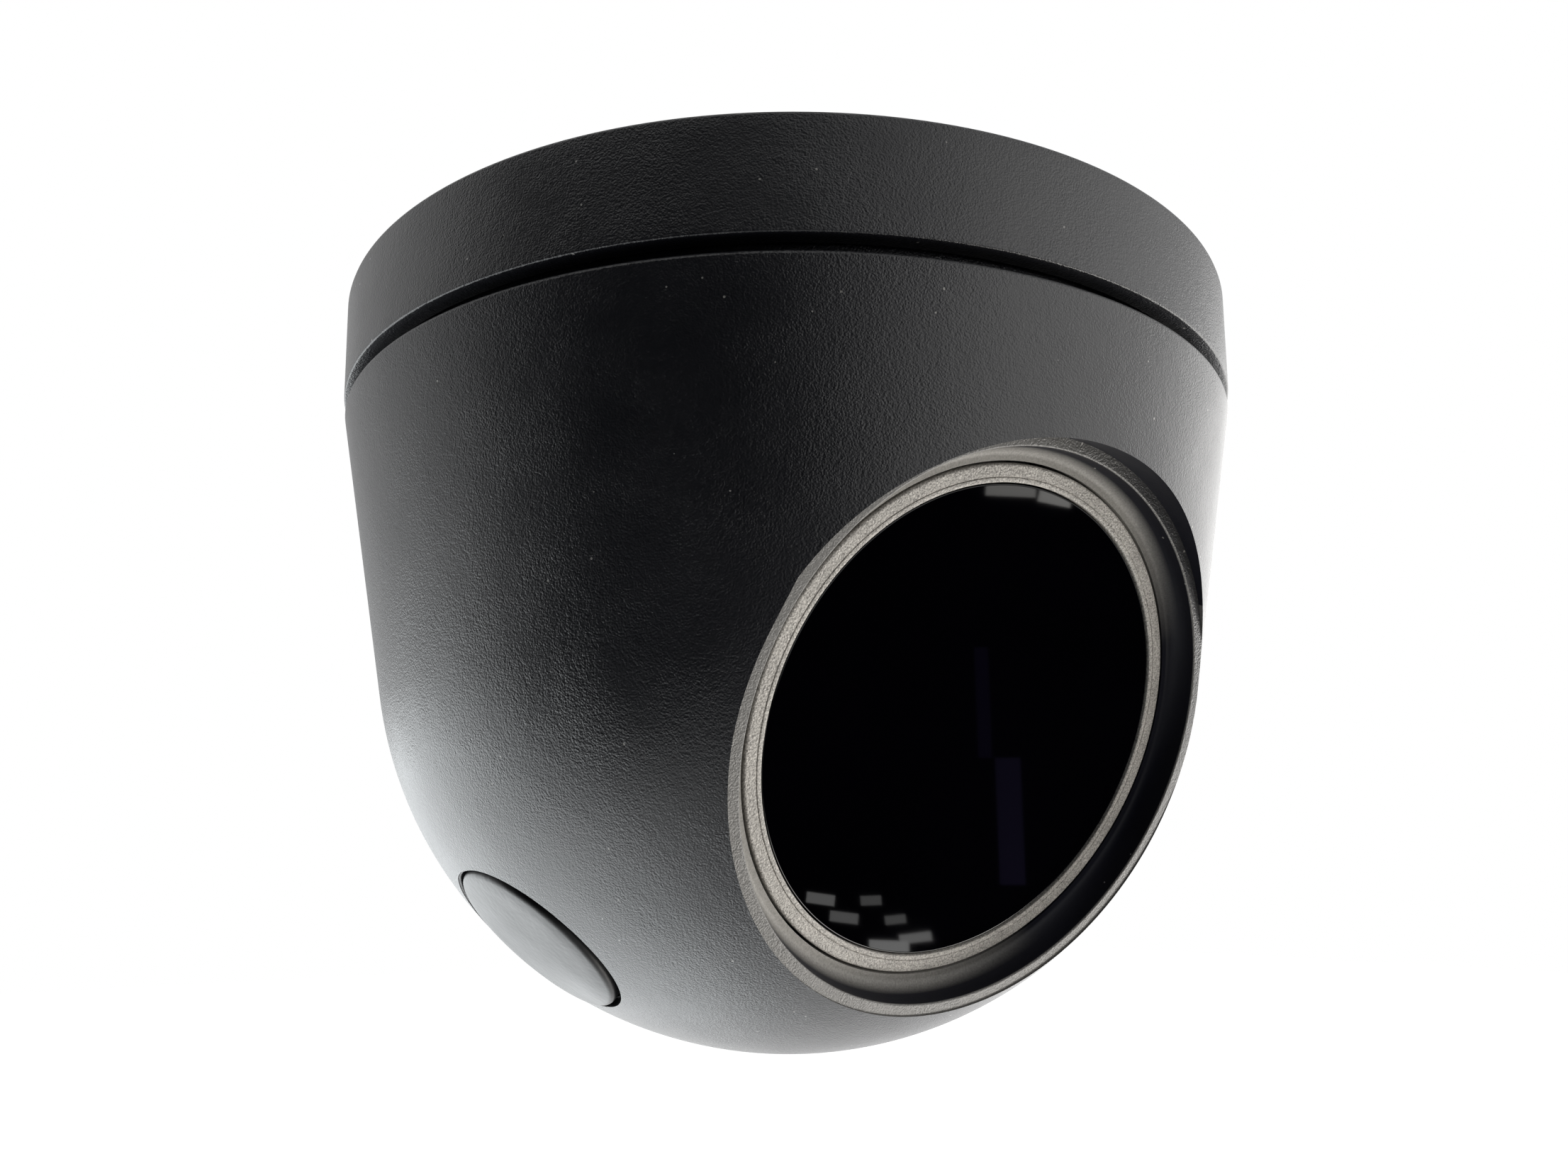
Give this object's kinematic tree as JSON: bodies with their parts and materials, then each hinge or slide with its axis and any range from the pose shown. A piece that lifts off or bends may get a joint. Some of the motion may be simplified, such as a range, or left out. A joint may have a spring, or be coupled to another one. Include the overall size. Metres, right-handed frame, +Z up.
{
  "type": "ceiling security camera",
  "caption": "Bell-shaped turret camera that hangs from a ceiling ring, pans under it and looks out through one recessed round window.",
  "frame": {"origin": "centre of the flat face that meets the ceiling", "axes": "+Z up into the ceiling, along the pan axis; the window faces -Y and 25 degrees down; +X is on the right of someone who looks at the window's back"},
  "size_m": [0.13, 0.13, 0.101],
  "materials": {
    "shell": "matte black moulding with a fine leather grain",
    "bezel": "fine sandy matte",
    "plug": "satin",
    "rubber": "matte",
    "dark_glass": "polished, opaque to the eye and clear to infrared",
    "cast_metal": "as cast",
    "steel": "zinc plated",
    "friction_pad": "soft, grey",
    "circuit_board": "solder mask",
    "chip": "matte",
    "connector": "natural",
    "nylon": "fine matte",
    "emitter": "clear epoxy",
    "filter_glass": "coated",
    "lens_glass": "coated"
  },
  "bodies": {
    "base": {"mounting_base": "shell", "ceiling_gasket": "rubber", "cable_grommet": "rubber", "pan_flange": "steel", "friction_ring": "friction_pad", "flange_screw_1": "steel", "flange_screw_2": "steel", "flange_screw_3": "steel"},
    "turret": {"dome_shell": "shell", "chassis_plate": "cast_metal", "chassis_screw_1": "steel", "chassis_screw_2": "steel", "chassis_screw_3": "steel", "window_glass": "dark_glass", "window_bezel": "bezel", "window_gasket": "rubber", "heat_sink": "cast_metal", "thermal_pad": "friction_pad", "processor": "chip", "main_board": "circuit_board", "cable_header": "connector", "board_screw_1": "steel", "board_screw_2": "steel", "board_screw_3": "steel", "tilt_bracket_right": "steel", "tilt_bracket_left": "steel", "bracket_screw_right": "steel", "bracket_screw_left": "steel", "service_board": "circuit_board", "card_socket": "steel", "reset_switch": "chip"},
    "carriage": {"tilt_carriage": "nylon", "tilt_pivot_right": "steel", "tilt_pivot_left": "steel", "light_board": "circuit_board", "light_shield": "rubber", "infrared_emitter_1": "emitter", "infrared_emitter_2": "emitter", "infrared_emitter_3": "emitter", "infrared_emitter_4": "emitter", "light_screw_1": "steel", "light_screw_2": "steel"},
    "sensor_unit": {"roll_ring": "nylon", "roll_clip": "steel", "sensor_board": "circuit_board", "image_sensor": "chip", "filter_housing": "nylon"},
    "filter_blade": {"filter_slider": "nylon", "clear_filter": "filter_glass", "cut_filter": "filter_glass"},
    "focus": {"focus_ring": "nylon"},
    "lens": {"lens_barrel": "nylon", "front_element": "lens_glass", "rear_element": "lens_glass"},
    "card": {"memory_card": "chip"},
    "button": {"reset_button": "connector"},
    "plug": {"service_plug": "plug", "plug_seal": "rubber"}
  },
  "joints": [
    {"name": "pan", "type": "hinge", "parent": "base", "child": "turret", "pos_m": [0, 0, 0], "axis": [0, 0, 1], "range_deg": [-175, 175]},
    {"name": "tilt", "type": "hinge", "parent": "turret", "child": "carriage", "pos_m": [0, 0, -0.04245], "axis": [1, 0, 0], "range_deg": [-15, 15]},
    {"name": "roll", "type": "hinge", "parent": "carriage", "child": "sensor_unit", "pos_m": [0, 0, -0.04245], "axis": [0, -0.9063, -0.4226], "range_deg": [-90, 90]},
    {"name": "filter_slide", "type": "slide", "parent": "sensor_unit", "child": "filter_blade", "axis": [1, 0, 0], "range_m": [0, 0.007]},
    {"name": "focus_travel", "type": "slide", "parent": "sensor_unit", "child": "lens", "axis": [0, -0.9063, -0.4226], "range_m": [0, 0.0015]},
    {"name": "focus_turn", "type": "hinge", "parent": "sensor_unit", "child": "focus", "pos_m": [0, 0, -0.04245], "axis": [0, -0.9063, -0.4226], "range_deg": [0, 90]},
    {"name": "card_eject", "type": "slide", "parent": "turret", "child": "card", "axis": [-0.6782, 0, -0.7349], "range_m": [0, 0.003]},
    {"name": "reset_press", "type": "slide", "parent": "turret", "child": "button", "axis": [0.6782, 0, 0.7349], "range_m": [0, 0.0005], "stiffness_N_per_m": 300, "springref_m": -0.0005},
    {"name": "plug_pull", "type": "slide", "parent": "turret", "child": "plug", "axis": [-0.6782, 0, -0.7349], "range_m": [0, 0.012]}
  ],
  "couplings": [
    {"joint": "focus_turn", "follows": "focus_travel", "rad_per_m": 1047.2}
  ]
}
